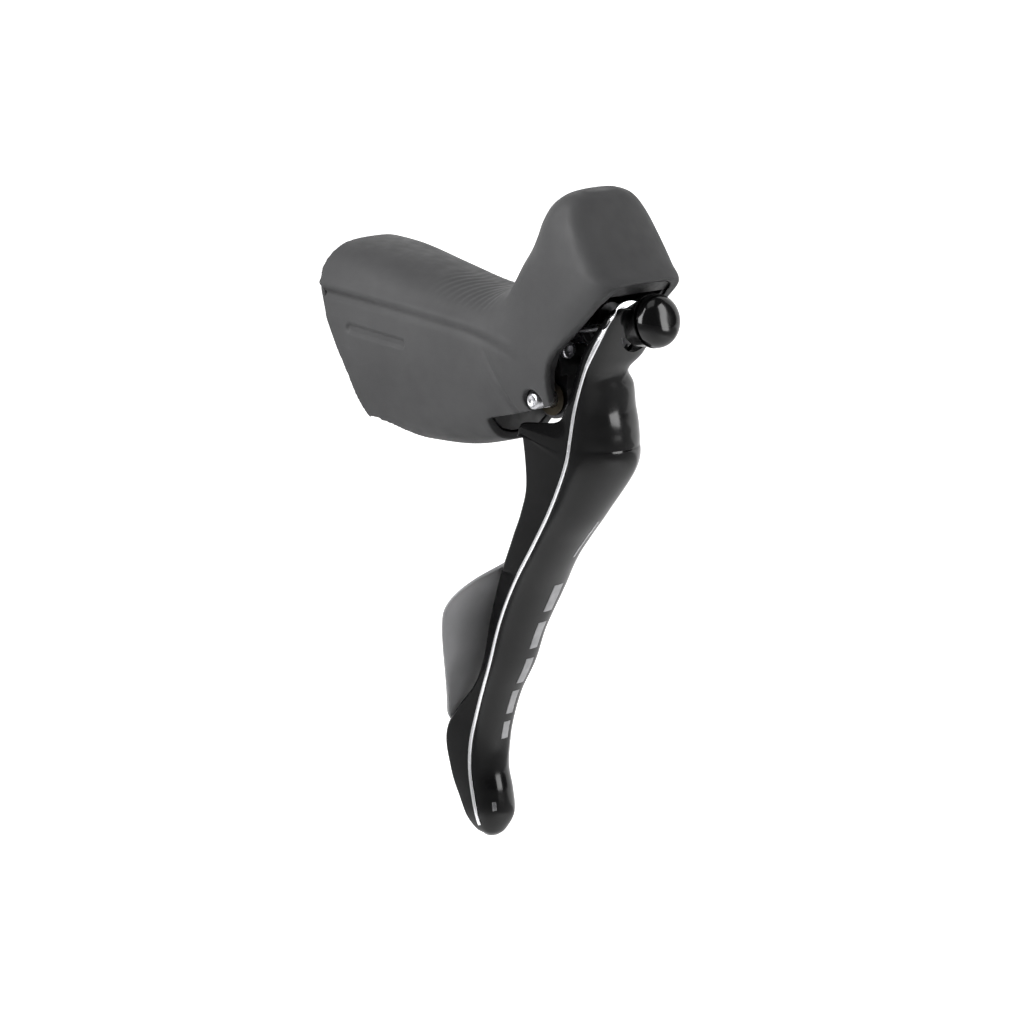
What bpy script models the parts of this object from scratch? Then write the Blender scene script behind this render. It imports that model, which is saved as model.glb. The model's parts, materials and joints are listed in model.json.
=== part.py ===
"""A left-hand drop-bar brake and shift lever.

+X points forward, +Y outboard, +Z up.
The origin is the centre of the handlebar under the clamp band.
Lengths are in millimetres in this file and become metres in the meshes.
"""

from math import cos, pi, radians, sin

import bmesh
import bpy
from mathutils import Euler, Matrix, Vector

MM = 0.001
GAP = 0.3

# Handlebar and clamp
BAR_DIAMETER = 24.0
BAR_TILT = radians(21)
BAND_WIDTH = 14.0
BAND_THICKNESS = 0.9
BAND_REACH = 17.0
BAND_TRAVEL = 2.0
CLAMP_BOLT_RADIUS = 2.5
CLAMP_BOLT_HEAD = 4.2
CLAMP_BOLT_SEAT = 31.3

# Hood and bracket
HOOD_THICKNESS = 2.0
CAVITY_HALF_WIDTH = 10.4
NOTCH_NEAR_Y = -12.6

# Brake pivot
PIVOT = Vector((68.0, 0.0, -8.0))
PIN_RADIUS = 2.45
PIN_HALF_LENGTH = 15.6
BOSS_RADIUS = 5.6
BOSS_HALF_WIDTH = 6.0

# Hydraulics
CYLINDER_RADIUS = 4.8
CYLINDER_HEIGHT = 2.0
CYLINDER_BACK = 36.0
CYLINDER_FRONT = 58.0
CLEVIS = Vector((66.05, 0.0, 2.0))

# Shift unit: its axis leans forward and up from a point behind the nose cap
SHIFT_CENTRE = Vector((94.5, 3.5, 14.3))
SHIFT_TILT = radians(10)
SHIFT_AXIS = Vector((cos(SHIFT_TILT), 0.0, sin(SHIFT_TILT)))
SHIFT_UP = Vector((-sin(SHIFT_TILT), 0.0, cos(SHIFT_TILT)))
AXLE_RADIUS = 2.4
WHEEL_RADIUS = 6.3
RATCHET_TEETH = 10
FINGER_Y = -8.1
NOSE_RADIUS = 7.2

# Reservoir in the horn: its lid lies square to the horn's front face
LID_CENTRE = Vector((85.0, 0.0, 31.7))
LID_NORMAL = Vector((0.82, 0.0, 0.57)).normalized()
LID_UP = Vector((-LID_NORMAL.z, 0.0, LID_NORMAL.x))
LID_HALF_Y = 10.6
LID_HALF_UP = 6.6
LID_SCREW_Y = 8.5
POCKET_HALF_Y = 6.6
POCKET_HALF_UP = 5.0
BLEED_FOOT = Vector((78.4, 0.0, 33.0))
BLEED_TOP = Vector((78.4, 0.0, 41.0))

# Hose and cable outlets beside the bar: distance ahead of the bar's axis, and sideways
PORT_FORWARD = 16.2
HOSE_Y = 6.4
CABLE_Y = -7.0

# Reach adjuster and the pin of the holding pawl
REACH_SCREW = Vector((69.0, -7.6, 5.8))
REACH_HEAD_X = 74.0
PAWL_PIN_Y = -5.4
PAWL_PIN_UP = 6.4

# Blade
BLADE_WALL = 1.9
BLADE_SKIN = 2.6
STRIPE_RADIUS = 0.6

# The hood's outline, one row for each cross-section from the bar to the top of the horn:
# upper or rear edge (x, z), lower or front edge (x, z), half width,
# share of the height above the widest line, roundness above it, roundness below it.
HOOD_SECTIONS = (
    ((-14.0, 27.2), (2.5, -23.6), 18.0, 0.33, 3.0, 3.2),
    ((2.0, 26.2), (12.4, -24.3), 17.9, 0.32, 2.8, 3.2),
    ((18.0, 23.4), (24.0, -24.8), 17.4, 0.29, 2.4, 3.1),
    ((34.0, 20.2), (38.5, -24.2), 16.8, 0.26, 2.2, 3.1),
    ((45.0, 18.8), (54.0, -20.6), 16.3, 0.26, 2.2, 3.0),
    ((51.0, 19.6), (66.5, -17.4), 16.1, 0.30, 2.3, 3.0),
    ((54.8, 21.4), (77.0, -13.0), 16.0, 0.36, 2.6, 3.2),
    ((57.8, 24.6), (82.4, -2.0), 16.0, 0.42, 3.0, 3.6),
    ((60.8, 28.6), (88.0, 10.0), 16.2, 0.46, 3.2, 3.8),
    ((63.6, 32.6), (98.4, 22.0), 16.3, 0.48, 3.2, 4.0),
    ((66.0, 36.6), (96.0, 27.0), 16.2, 0.50, 3.2, 3.8),
    ((68.2, 41.0), (91.0, 34.6), 15.7, 0.50, 3.0, 3.4),
    ((71.0, 45.0), (86.6, 41.0), 14.2, 0.50, 2.8, 3.0),
    ((74.2, 47.6), (83.6, 45.6), 11.0, 0.50, 2.6, 2.6),
    ((77.0, 48.6), (81.0, 48.0), 6.0, 0.50, 2.4, 2.4),
)
HOOD_POINTS = 28
# How far an inset skin drops at the last three cross-sections, as a share of the inset
HORN_TOP_SHARES = ((-3, 0.3), (-2, 0.7), (-1, 1.0))

# The front edge of the hood, side view: everything ahead of this line is open.
RIM_LINE = ((99.0, 27.2), (75.9, 5.2), (74.0, 0.3), (73.6, -9.5), (75.2, -12.8), (78.0, -20.0))

# The blade, one row for each cross-section from the head to the tip: trim line (x, z),
# y of the near edge, width, height of the crowned front, depth of the near flank,
# depth of the far flank, hollowness of the back.
BLADE_SECTIONS = (
    ((92.6, 18.4), -6.0, 12.0, 1.0, 1.2, 1.2, 0.0),
    ((91.4, 16.4), -8.2, 17.5, 1.8, 1.6, 1.6, 0.0),
    ((88.6, 11.8), -9.0, 20.0, 2.6, 2.2, 2.2, 0.6),
    ((84.4, 5.6), -9.0, 19.6, 3.6, 2.8, 2.6, 1.0),
    ((82.1, 1.0), -9.0, 16.0, 3.6, 2.8, 2.8, 1.0),
    ((80.4, -3.4), -9.0, 19.2, 5.0, 2.8, 3.0, 1.0),
    ((78.4, -9.5), -9.0, 21.2, 6.8, 3.4, 3.4, 1.0),
    ((77.3, -15.0), -9.0, 22.8, 8.0, 6.0, 3.8, 1.0),
    ((76.4, -19.5), -9.0, 23.6, 8.8, 18.6, 4.0, 1.0),
    ((75.2, -25.0), -9.0, 24.0, 9.0, 18.0, 4.0, 1.0),
    ((69.7, -36.2), -8.6, 20.0, 7.6, 11.4, 3.6, 1.0),
    ((64.6, -44.2), -8.2, 18.5, 6.4, 8.6, 3.2, 1.0),
    ((60.3, -50.7), -8.0, 17.6, 6.0, 7.4, 3.0, 1.0),
    ((54.0, -59.9), -7.6, 18.4, 6.2, 5.4, 2.6, 1.0),
    ((48.3, -71.3), -7.2, 16.6, 6.2, 3.6, 2.2, 1.0),
    ((44.8, -81.6), -6.8, 15.8, 5.4, 2.8, 2.0, 1.0),
    ((41.3, -90.2), -6.4, 14.0, 4.6, 3.4, 2.0, 1.0),
    ((38.2, -98.8), -6.0, 13.4, 4.6, 7.4, 2.4, 1.0),
    ((36.4, -105.3), -6.0, 13.6, 5.0, 9.6, 2.8, 0.8),
    ((35.9, -112.9), -5.8, 13.2, 5.2, 7.6, 2.8, 0.4),
    ((36.7, -119.7), -5.4, 13.6, 5.2, 5.6, 2.6, 0.0),
    ((37.6, -125.6), -4.8, 13.0, 4.6, 4.0, 2.4, 0.0),
    ((37.9, -129.4), -3.0, 8.6, 3.0, 2.4, 2.0, 0.0),
    ((37.8, -131.2), -0.6, 3.8, 1.2, 1.2, 1.2, 0.0),
)

# The release paddle, from its hub down: centre (x, z), near y, far y, thickness
PADDLE_SECTIONS = (
    ((87.8, 10.4), -1.0, 4.0, 1.8),
    ((85.4, 7.4), -2.0, 3.0, 1.8),
    ((83.3, 3.4), -2.8, 2.0, 1.8),
    ((80.8, -1.8), -2.6, 2.4, 1.8),
    ((76.8, -12.0), -0.6, 4.4, 2.2),
    ((72.2, -22.0), 1.4, 6.4, 2.4),
    ((66.0, -33.0), 1.8, 6.6, 2.4),
    ((57.2, -44.5), 1.4, 6.6, 2.2),
    ((50.6, -53.0), -2.0, 6.4, 2.0),
    ((46.4, -58.6), -13.6, 6.0, 1.9),
    ((43.6, -62.6), -18.6, 5.6, 1.9),
    ((41.6, -66.6), -20.6, 5.4, 1.9),
    ((39.9, -71.4), -19.8, 5.0, 1.9),
    ((37.8, -78.0), -17.4, 4.6, 1.9),
    ((34.4, -86.0), -13.2, 4.2, 1.9),
    ((30.6, -93.4), -8.8, 3.6, 1.9),
    ((28.4, -98.0), -6.4, 2.6, 1.9),
    ((27.4, -100.2), -4.4, 0.6, 1.6),
)

BAR_FORWARD = Vector((cos(BAR_TILT), 0.0, sin(BAR_TILT)))
BAR_UP = Vector((-sin(BAR_TILT), 0.0, cos(BAR_TILT)))

for stale in list(bpy.data.objects):
    bpy.data.objects.remove(stale)

PARTS = bpy.data.collections.new("brake_shift_lever")
CUTTERS = bpy.data.collections.new("cutters")
bpy.context.scene.collection.children.link(PARTS)
bpy.context.scene.collection.children.link(CUTTERS)
CUTTERS.hide_render = True


def material(name, colour, roughness, metallic=0.0):
    made = bpy.data.materials.new(name)
    made.use_nodes = True
    shader = made.node_tree.nodes["Principled BSDF"]
    shader.inputs["Base Color"].default_value = (*colour, 1.0)
    shader.inputs["Roughness"].default_value = roughness
    shader.inputs["Metallic"].default_value = metallic
    return made


RUBBER = material("hood_rubber", (0.035, 0.035, 0.037), 0.75)
COMPOSITE = material("bracket_composite", (0.02, 0.02, 0.022), 0.5)
GLOSS = material("blade_gloss", (0.006, 0.006, 0.007), 0.12)
SILVER = material("bright_trim", (0.78, 0.78, 0.8), 0.18, 1.0)
PADDLE = material("paddle_plastic", (0.07, 0.07, 0.075), 0.45)
STEEL = material("steel", (0.55, 0.55, 0.57), 0.3, 1.0)
SPRING = material("spring_steel", (0.4, 0.4, 0.42), 0.35, 1.0)
ALLOY = material("alloy", (0.6, 0.6, 0.62), 0.4, 1.0)
BRASS = material("brass", (0.7, 0.5, 0.2), 0.35, 1.0)
SEAL = material("seal_rubber", (0.015, 0.015, 0.015), 0.6)


def body(name, point):
    """An empty on a joint's axis, for the pieces that the joint moves."""
    empty = bpy.data.objects.new(name, None)
    empty.location = Vector(point) * MM
    PARTS.objects.link(empty)
    return empty


ROOT = body("fixed", (0, 0, 0))
CLAMP = body("clamp", (0, 0, 0))
BOLT = body("bolt", BAR_FORWARD * BAND_REACH)
PISTON = body("piston", (CYLINDER_BACK, 0, CYLINDER_HEIGHT))
LEVER = body("lever", PIVOT)
REACH = body("reach", REACH_SCREW)
BLADE = body("blade", SHIFT_CENTRE)
RELEASE = body("release", SHIFT_CENTRE)
SPOOL = body("spool", SHIFT_CENTRE)


def keep(obj, surface, moved_by):
    """Gives a part its material, its collection and its body. A cutter has only its collection."""
    home = PARTS if surface else CUTTERS
    home.objects.link(obj)
    if surface:
        obj.data.materials.append(surface)
        obj.parent = moved_by
        obj.matrix_parent_inverse = Matrix.Translation(-moved_by.location)
    else:
        obj.hide_render = True
        obj.display_type = "WIRE"
    return obj


def turned_to(axis):
    return Vector(axis).to_track_quat("Z", "Y")


def from_bmesh(name, shape, surface, moved_by):
    bmesh.ops.recalc_face_normals(shape, faces=shape.faces)
    mesh = bpy.data.meshes.new(name)
    shape.to_mesh(mesh)
    shape.free()
    mesh.shade_smooth()
    mesh.set_sharp_from_angle(angle=radians(35))
    return keep(bpy.data.objects.new(name, mesh), surface, moved_by)


def rod(name, start, end, radius, surface=None, moved_by=None, sides=24, end_radius=None):
    start = Vector(start)
    end = Vector(end)
    shape = bmesh.new()
    bmesh.ops.create_cone(
        shape,
        cap_ends=True,
        segments=sides,
        radius1=radius * MM,
        radius2=(end_radius or radius) * MM,
        depth=(end - start).length * MM,
    )
    obj = from_bmesh(name, shape, surface, moved_by)
    obj.location = (start + end) / 2 * MM
    obj.rotation_mode = "QUATERNION"
    obj.rotation_quaternion = turned_to(end - start)
    return obj


def across(name, centre, half_length, radius, surface=None, moved_by=None, sides=24):
    """A rod along the Y axis, centred on a point."""
    side = Vector((0, half_length, 0))
    return rod(name, centre - side, centre + side, radius, surface, moved_by, sides)


def block(name, low, high, surface=None, moved_by=None, turn=0.0):
    """A box between two corners, then turned about the Y axis through the origin."""
    low = Vector(low)
    high = Vector(high)
    shape = bmesh.new()
    bmesh.ops.create_cube(shape, size=1.0)
    bmesh.ops.scale(shape, vec=(high - low) * MM, verts=shape.verts)
    obj = from_bmesh(name, shape, surface, moved_by)
    turned = Euler((0.0, -turn, 0.0))
    centre = (low + high) / 2 * MM
    centre.rotate(turned)
    obj.location = centre
    obj.rotation_euler = turned
    return obj


def turned(name, profile, base, axis, surface=None, moved_by=None, steps=24):
    """A profile of (radius, height) turned about an axis. One that stays off the axis is a ring."""
    is_ring = min(radius for radius, _ in profile) > 0
    mesh = bpy.data.meshes.new(name)
    points = [(radius * MM, 0.0, height * MM) for radius, height in profile]
    edges = [(i, i + 1) for i in range(len(points) - 1)]
    if is_ring:
        edges.append((len(points) - 1, 0))
    mesh.from_pydata(points, edges, [])
    obj = keep(bpy.data.objects.new(name, mesh), surface, moved_by)
    screw = obj.modifiers.new("Turn", "SCREW")
    screw.steps = steps
    screw.render_steps = steps
    screw.use_merge_vertices = True
    screw.merge_threshold = 0.00001
    screw.use_smooth_shade = True
    obj.location = Vector(base) * MM
    obj.rotation_mode = "QUATERNION"
    obj.rotation_quaternion = turned_to(axis)
    return obj


def ring(name, outer, inner, start, end, surface, moved_by, steps=24):
    start = Vector(start)
    end = Vector(end)
    height = (end - start).length
    profile = ((outer, height), (outer, 0.0), (inner, 0.0), (inner, height))
    return turned(name, profile, start, end - start, surface, moved_by, steps)


def meshed(curve_object, surface, moved_by):
    """The curve as a mesh whose caps are welded, so that a Boolean can use it."""
    bpy.context.scene.collection.objects.link(curve_object)
    bpy.context.view_layer.update()
    graph = bpy.context.evaluated_depsgraph_get()
    mesh = bpy.data.meshes.new_from_object(curve_object.evaluated_get(graph))
    shape = bmesh.new()
    shape.from_mesh(mesh)
    bmesh.ops.remove_doubles(shape, verts=shape.verts, dist=0.000001)
    bmesh.ops.recalc_face_normals(shape, faces=shape.faces)
    shape.to_mesh(mesh)
    shape.free()
    mesh.materials.clear()
    name = curve_object.name
    place = curve_object.matrix_world.copy()
    bpy.data.objects.remove(curve_object)
    obj = bpy.data.objects.new(name, mesh)
    obj.matrix_world = place
    return keep(obj, surface, moved_by)


def plate(name, outline, turn, centre, thickness, surface=None, moved_by=None, hole=None):
    """A flat outline, as thick as given, turned and centred on a point. A hole is a second outline."""
    curve = bpy.data.curves.new(name, "CURVE")
    curve.dimensions = "2D"
    curve.fill_mode = "BOTH"
    curve.extrude = thickness / 2 * MM
    for loop in (outline, hole) if hole else (outline,):
        spline = curve.splines.new("POLY")
        spline.points.add(len(loop) - 1)
        for point, (across, along) in zip(spline.points, loop):
            point.co = (across * MM, along * MM, 0.0, 1.0)
        spline.use_cyclic_u = True
    obj = bpy.data.objects.new(name, curve)
    obj.location = Vector(centre) * MM
    obj.rotation_euler = turn
    return meshed(obj, surface, moved_by)


def prism(name, outline, low_y, high_y, surface=None, moved_by=None):
    """A side-view outline of (x, z) points, as thick as from low_y to high_y."""
    centre = (0.0, (low_y + high_y) / 2, 0.0)
    return plate(name, outline, (pi / 2, 0.0, 0.0), centre, high_y - low_y, surface, moved_by)


def slab(name, outline, low, high, surface=None, moved_by=None, hole=None):
    """An outline of (forward, y) points square to the bar, from low to high along it."""
    centre = BAR_UP * (low + high) / 2
    return plate(name, outline, (0.0, -BAR_TILT, 0.0), centre, high - low, surface, moved_by, hole)


def wafer(name, outline, low, high, surface=None, moved_by=None):
    """An outline of (y, up) points square to the shift axis, from low to high along it."""
    turn = Matrix((Vector((0, 1, 0)), SHIFT_UP, SHIFT_AXIS)).transposed().to_euler()
    centre = along_shift((low + high) / 2)
    return plate(name, outline, turn, centre, high - low, surface, moved_by)


def wire(name, points, radius, surface, moved_by, resolution=1):
    """A round wire through the points, with closed ends."""
    curve = bpy.data.curves.new(name, "CURVE")
    curve.dimensions = "3D"
    curve.bevel_depth = radius * MM
    curve.bevel_resolution = resolution
    curve.use_fill_caps = True
    spline = curve.splines.new("POLY")
    spline.points.add(len(points) - 1)
    for point, place in zip(spline.points, points):
        point.co = (*(Vector(place) * MM), 1.0)
    obj = bpy.data.objects.new(name, curve)
    return meshed(obj, surface, moved_by)


def coil(start, axis, radius, pitch, turns, steps=10):
    """Points of a helix along an axis."""
    turn = turned_to(axis)
    points = []
    for i in range(round(turns * steps) + 1):
        angle = 2 * pi * i / steps
        local = Vector((radius * cos(angle), radius * sin(angle), pitch * i / steps))
        points.append(Vector(start) + turn @ local)
    return points


def loft(name, rings, surface=None, moved_by=None):
    """A closed skin over rings of the same number of points."""
    shape = bmesh.new()
    rows = [[shape.verts.new(Vector(point) * MM) for point in row] for row in rings]
    for upper, lower in zip(rows, rows[1:]):
        for i in range(len(upper)):
            j = (i + 1) % len(upper)
            shape.faces.new((upper[i], upper[j], lower[j], lower[i]))
    shape.faces.new(rows[0])
    shape.faces.new(rows[-1])
    bmesh.ops.triangulate(shape, faces=shape.faces)
    return from_bmesh(name, shape, surface, moved_by)


def boolean(obj, other, operation):
    """Joins or cuts. The many curved cuts of the hood and the bracket need the manifold solver."""
    modifier = obj.modifiers.new(other.name, "BOOLEAN")
    modifier.operation = operation
    modifier.solver = "MANIFOLD" if obj.name in ("hood", "bracket_body") else "EXACT"
    modifier.object = other


def cut(obj, *cutters):
    for cutter in cutters:
        boolean(obj, cutter, "DIFFERENCE")


def join(obj, *others):
    for other in others:
        boolean(obj, other, "UNION")


def along_bar(forward, y, up):
    return BAR_FORWARD * forward + BAR_UP * up + Vector((0, y, 0))


def along_shift(distance, y=0.0, up=0.0):
    """A point on the shift axis, moved sideways by y and by up square to the axis."""
    return SHIFT_CENTRE + SHIFT_AXIS * distance + Vector((0, y, 0)) + SHIFT_UP * up


def signed_power(value, power):
    return abs(value) ** power * (1 if value >= 0 else -1)


def hood_ring(section, inset):
    """A cross-section of the hood: a superellipse that is rounder above its widest line."""
    top, bottom, half_width, share, round_top, round_bottom = section
    top = Vector((top[0], 0.0, top[1]))
    bottom = Vector((bottom[0], 0.0, bottom[1]))
    height = (top - bottom).length
    up = (top - bottom) / height
    above = share * height
    below = height - above
    middle = top - up * above
    points = []
    for i in range(HOOD_POINTS):
        angle = 2 * pi * (i + 0.5) / HOOD_POINTS
        power = 2 / (round_top if sin(angle) >= 0 else round_bottom)
        reach = above if sin(angle) >= 0 else below
        reach = max(reach - inset, 0.4 * reach)
        side = (half_width - inset) * signed_power(cos(angle), power)
        rise = reach * signed_power(sin(angle), power)
        points.append(middle + up * rise + Vector((0, side, 0)))
    return points


def hood_rings(inset):
    """All the hood's cross-sections, moved in by the inset, also from the top of the horn."""
    rings = [hood_ring(section, inset) for section in HOOD_SECTIONS]
    for i, share in HORN_TOP_SHARES:
        rings[i] = [point - Vector((0, 0, inset * share)) for point in rings[i]]
    return rings


def rim_outline(shift):
    """The space ahead of the front edge, moved back by shift."""
    front = [(x - shift, z) for x, z in RIM_LINE]
    return front + [(130.0, -20.0), (130.0, 27.2)]


def stadium(radius, reach, steps=20):
    """Half a circle behind the bar and two straight legs that reach forward."""
    angles = [pi / 2 + pi * i / steps for i in range(steps + 1)]
    points = [(radius * cos(a), radius * sin(a)) for a in angles]
    return points + [(reach, -radius), (reach, radius)]


def make_hood():
    rings = hood_rings(0.0)
    hood = loft("hood", rings, RUBBER, ROOT)
    inner = hood_rings(HOOD_THICKNESS)
    rearward = [point - BAR_FORWARD * 8 for point in inner[0]]
    cut(
        hood,
        loft("hood_inside", [rearward] + inner),
        prism("hood_front", rim_outline(0.0), -30, 30),
        rod("hood_bar", BAR_UP * -45, BAR_UP * 45, BAR_DIAMETER / 2 + 0.7, sides=40),
        prism("hood_notch", ((50, -8), (90, -8), (90, -30), (50, -30)), NOTCH_NEAR_Y - GAP, 11),
        across("hood_pin", PIVOT, 20, PIN_RADIUS + 0.7),
    )


def make_bracket():
    bracket = loft("bracket_body", hood_rings(HOOD_THICKNESS + GAP), COMPOSITE, ROOT)
    bar = BAR_DIAMETER / 2
    slot = stadium(bar + BAND_THICKNESS + 0.5, BAND_REACH + 9)
    slot_hole = stadium(bar - 1.0, BAND_REACH - BAND_THICKNESS - BAND_TRAVEL - GAP)
    cavity = ((65, -8), (65, 14), (67, 18.6), (89, 21.8), (120, 21.8), (120, -40), (65, -40))
    hose = (along_bar(PORT_FORWARD, HOSE_Y, 9), along_bar(PORT_FORWARD, HOSE_Y, 40))
    cable = (along_bar(PORT_FORWARD, CABLE_Y, 9), along_bar(PORT_FORWARD, CABLE_Y, 40))
    bore_start = Vector((CYLINDER_BACK, 0, CYLINDER_HEIGHT))
    gland_start = Vector((CYLINDER_FRONT, 0, CYLINDER_HEIGHT))
    front = Vector((75, 0, CYLINDER_HEIGHT))
    cut(bracket, *reservoir_cutters())
    cut(
        bracket,
        rod("bracket_bar", BAR_UP * -45, BAR_UP * 45, bar + 0.15, sides=40),
        block("bracket_rear", (-60, -30, -50), (3.0, 30, 50), turn=BAR_TILT),
        prism("bracket_front", rim_outline(1.2), -30, 30),
        prism("bracket_cavity", cavity, -CAVITY_HALF_WIDTH, CAVITY_HALF_WIDTH),
        across("pivot_room", PIVOT, 10.1, 6.6),
        prism("bracket_notch", ((50, -8), (70, -8), (70, -30), (50, -30)), NOTCH_NEAR_Y, 10.6),
        slab("band_slot", slot, -BAND_WIDTH / 2 - 0.5, BAND_WIDTH / 2 + 0.5, hole=slot_hole),
        rod("bolt_hole", BAR_FORWARD * 12, BAR_FORWARD * 40, CLAMP_BOLT_RADIUS + 0.4),
        rod("bolt_access", BAR_FORWARD * 31, BAR_FORWARD * 70, CLAMP_BOLT_HEAD + 0.4),
        rod("bore", bore_start, front, CYLINDER_RADIUS, sides=32),
        rod("gland_seat", gland_start, front, CYLINDER_RADIUS + 1.6, sides=32),
        rod("fluid_port", (72.0, 0, 28.0), (56.0, 0, 5.0), 1.0, sides=12),
        across("pin_hole", PIVOT, 20, PIN_RADIUS + GAP),
        rod("hose_bore", *hose, 4.3),
        rod("cable_bore", *cable, 3.3),
    )


def on_lid(out, y, up):
    return LID_CENTRE + LID_NORMAL * out + LID_UP * up + Vector((0, y, 0))


def lid_block(name, out, half_y, half_up, surface=None, moved_by=None):
    """A plate square to the horn's front face, from one distance out to another."""
    turn = -LID_NORMAL.angle(Vector((1, 0, 0)))
    shape = bmesh.new()
    bmesh.ops.create_cube(shape, size=1.0)
    size = Vector((out[1] - out[0], 2 * half_y, 2 * half_up)) * MM
    bmesh.ops.scale(shape, vec=size, verts=shape.verts)
    obj = from_bmesh(name, shape, surface, moved_by)
    obj.location = on_lid((out[0] + out[1]) / 2, 0, 0) * MM
    obj.rotation_euler = (0.0, turn, 0.0)
    return obj


def reservoir_cutters():
    yield lid_block("lid_seat", (-2.6, 20), LID_HALF_Y + GAP, LID_HALF_UP + GAP)
    yield lid_block("reservoir", (-12.0, 1), POCKET_HALF_Y, POCKET_HALF_UP)
    for name, y in (("screw_hole_near", -LID_SCREW_Y), ("screw_hole_far", LID_SCREW_Y)):
        yield rod(name, on_lid(-8, y, 0), on_lid(5, y, 0), 1.3, sides=16)
    yield rod("bleed_hole", BLEED_FOOT, BLEED_TOP + Vector((0, 0, 6)), 2.1, sides=16)
    yield rod("bleed_seat", BLEED_TOP, BLEED_TOP + Vector((0, 0, 6)), 4.0, sides=24)


def make_reservoir():
    lid = lid_block("reservoir_lid", (-1.6, 0.2), LID_HALF_Y, LID_HALF_UP, ALLOY, ROOT)
    for name, y in (("lid_hole_near", -LID_SCREW_Y), ("lid_hole_far", LID_SCREW_Y)):
        cut(lid, rod(name, on_lid(-6, y, 0), on_lid(6, y, 0), 1.4, sides=16))
    bevel(lid, 0.5)
    sheet_y = POCKET_HALF_Y + 0.2
    diaphragm = lid_block("reservoir_diaphragm", (-2.3, -1.9), sheet_y, LID_HALF_UP, SEAL, ROOT)
    bellows = (POCKET_HALF_Y - 1.0, POCKET_HALF_UP - 1.8)
    join(diaphragm, lid_block("diaphragm_bellows", (-5.0, -2.0), *bellows))
    for name, y in (("lid_screw_near", -LID_SCREW_Y), ("lid_screw_far", LID_SCREW_Y)):
        socket_screw(name, on_lid(0.5, y, 0), -LID_NORMAL, 1.0, 1.8, 7.0, 1.1, ROOT)


def bevel(obj, width, segments=2):
    modifier = obj.modifiers.new("Round edges", "BEVEL")
    modifier.width = width * MM
    modifier.segments = segments
    modifier.limit_method = "ANGLE"
    modifier.angle_limit = radians(40)


def socket_screw(name, seat, axis, radius, head_radius, length, head_height, moved_by):
    """A cap screw: its shank runs along the axis from its seat, its head is behind the seat."""
    axis = Vector(axis).normalized()
    profile = (
        (0.0, length),
        (radius * 0.8, length),
        (radius, length - radius * 0.4),
        (radius, 0.0),
        (head_radius, 0.0),
        (head_radius, -head_height * 0.85),
        (head_radius * 0.92, -head_height),
        (0.0, -head_height),
    )
    screw = turned(name, profile, seat, axis, STEEL, moved_by, steps=20)
    top = Vector(seat) - axis * (head_height + 0.5)
    floor = Vector(seat) - axis * head_height * 0.35
    cut(screw, rod(name + "_socket", top, floor, head_radius * 0.55, sides=6))


def make_bleed_screw():
    seat = BLEED_TOP + Vector((0, 0, 0.9))
    socket_screw("bleed_screw", seat, (0, 0, -1), 1.7, 2.8, 5.6, 1.3, ROOT)
    seal_foot = BLEED_TOP + Vector((0, 0, 0.1))
    ring("bleed_o_ring", 2.9, 2.0, seal_foot, seal_foot + Vector((0, 0, 0.6)), SEAL, ROOT)


def make_clamp():
    bar = BAR_DIAMETER / 2
    outline = stadium(bar + BAND_THICKNESS + 0.05, BAND_REACH)
    hole = stadium(bar + 0.05, BAND_REACH - BAND_THICKNESS)
    band = slab("clamp_band", outline, -BAND_WIDTH / 2, BAND_WIDTH / 2, STEEL, CLAMP, hole)
    cut(band, rod("band_hole", BAR_FORWARD * 14, BAR_FORWARD * 20, CLAMP_BOLT_RADIUS + 0.3))
    back = BAND_REACH + GAP
    square = ((back, -4.2), (back + 4.6, -4.2), (back + 4.6, 4.2), (back, 4.2))
    nut = slab("clamp_nut", square, -5.0, 5.0, STEEL, CLAMP)
    cut(nut, rod("nut_thread", BAR_FORWARD * 14, BAR_FORWARD * 24, CLAMP_BOLT_RADIUS + 0.2))
    seat = BAR_FORWARD * CLAMP_BOLT_SEAT
    radii = (CLAMP_BOLT_RADIUS, CLAMP_BOLT_HEAD)
    socket_screw("clamp_bolt", seat, -BAR_FORWARD, *radii, 15.6, 4.6, BOLT)


def make_ports():
    """The two places where the hose and the cable casing leave, beside the bar."""
    rows = (
        ("hose_nut", 3.9, 2.9, HOSE_Y, 9.4, 13.8, STEEL, 6),
        ("hose_olive", 2.2, 1.4, HOSE_Y, 9.6, 13.0, BRASS, 16),
        ("cable_stop", 3.0, 1.2, CABLE_Y, 9.4, 14.0, ALLOY, 20),
    )
    for name, outer, inner, y, low, high, surface, steps in rows:
        start = along_bar(PORT_FORWARD, y, low)
        end = along_bar(PORT_FORWARD, y, high)
        ring(name, outer, inner, start, end, surface, ROOT, steps)


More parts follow.
